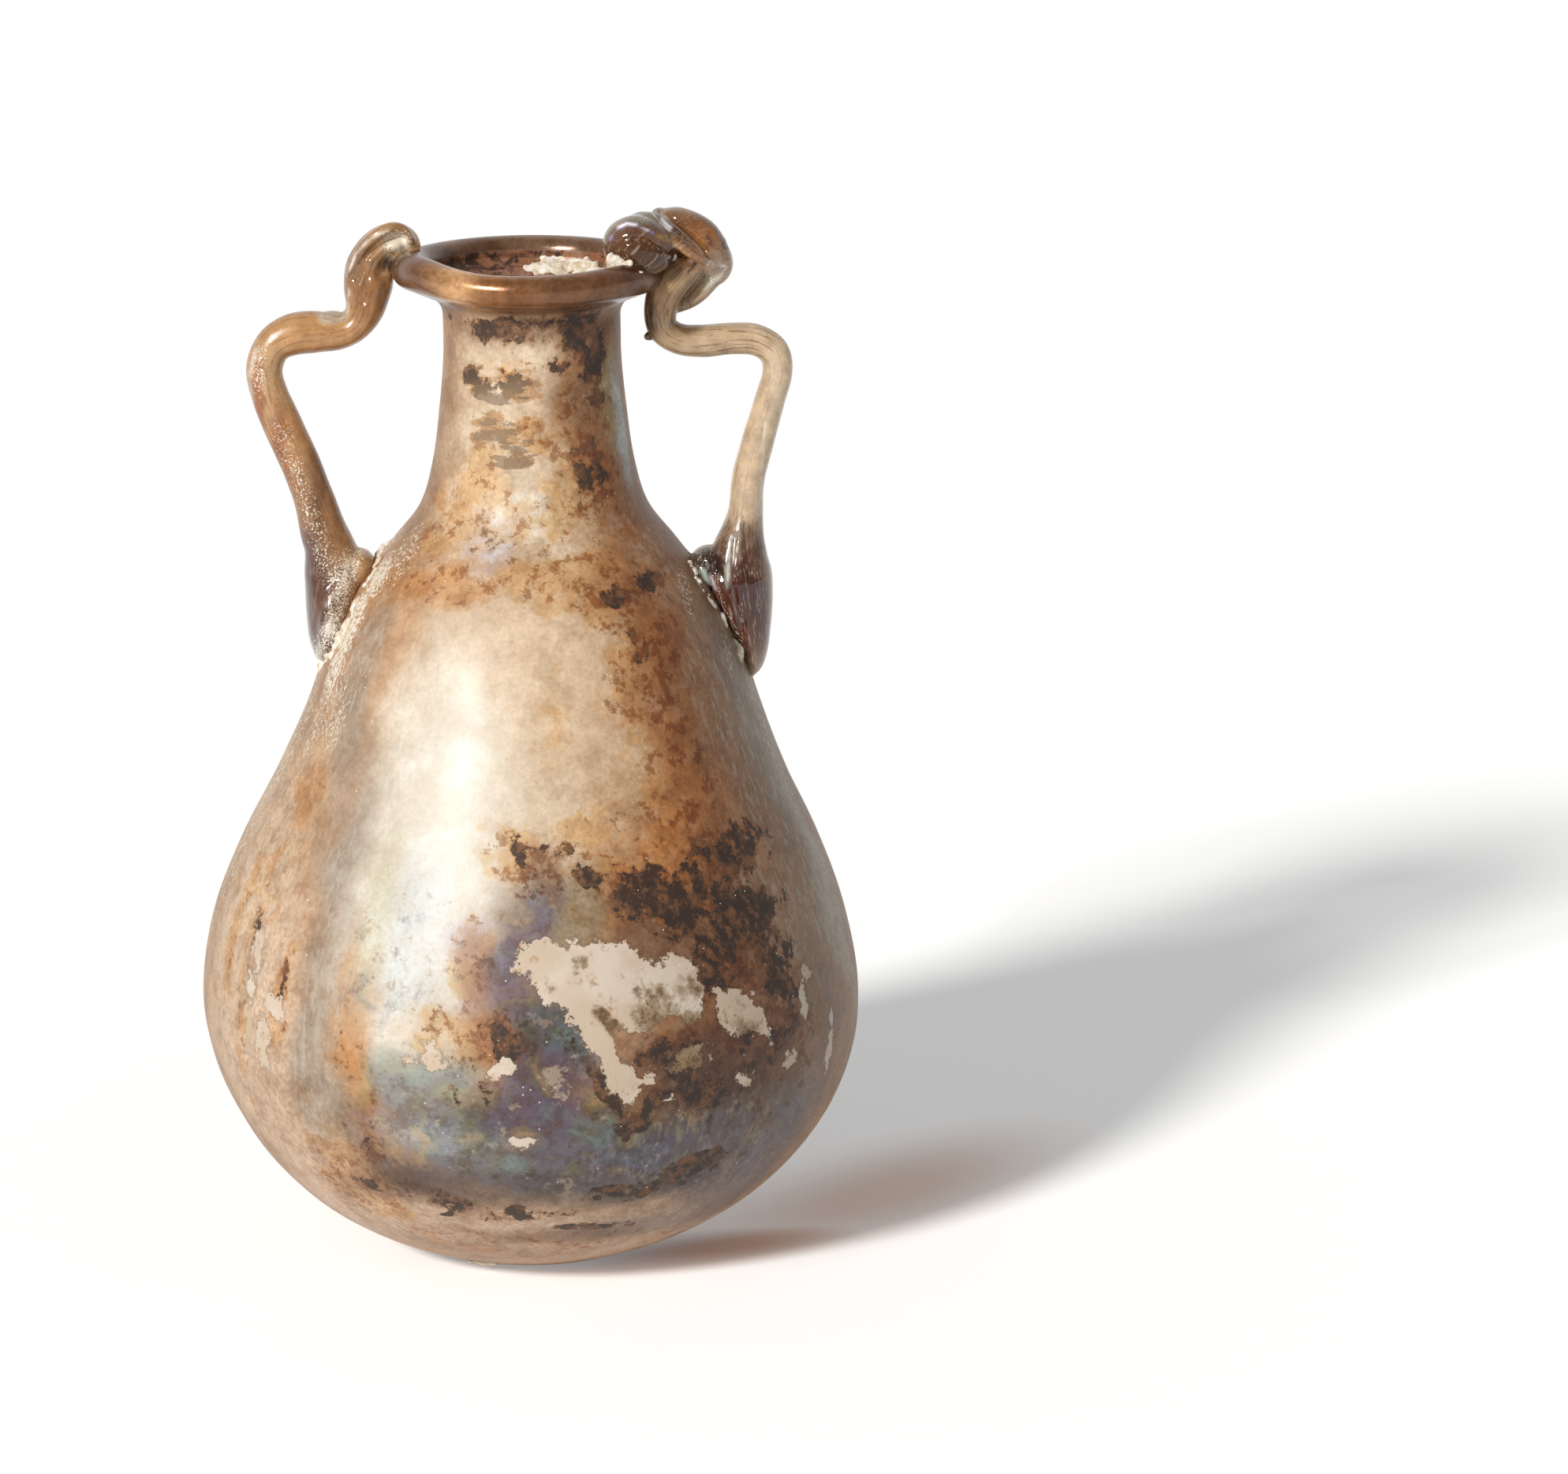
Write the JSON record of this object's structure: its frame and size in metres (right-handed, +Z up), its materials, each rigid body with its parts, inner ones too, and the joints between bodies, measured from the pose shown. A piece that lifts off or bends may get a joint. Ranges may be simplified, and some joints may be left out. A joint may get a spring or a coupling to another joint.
{
  "type": "two-handled glass flask",
  "caption": "Small pear-shaped blown glass flask, weathered and iridescent, with a rolled rim and trailed rod handles from shoulder to rim.",
  "frame": {"origin": "centre of the resting foot, on the surface that the flask stands on", "axes": "+Z up along the flask's axis, +X towards the handle with the large knot, so the handles lie along X and the side shown in the picture faces -Y"},
  "size_m": [0.0832, 0.0832, 0.1341],
  "materials": {
    "vessel_glass": "weathered, silky, iridescent in bands",
    "left_handle_glass": "satin, translucent amber",
    "right_handle_glass": "satin rod, glossy translucent brown knot",
    "soil_crust": "chalky"
  },
  "bodies": {
    "root": {"vessel": "vessel_glass", "left_handle": "left_handle_glass", "right_handle": "right_handle_glass", "left_pad_crust": "soil_crust", "right_pad_crust": "soil_crust", "mouth_crust": "soil_crust", "rim_crust": "soil_crust", "foot_flake": "soil_crust"}
  },
  "joints": []
}
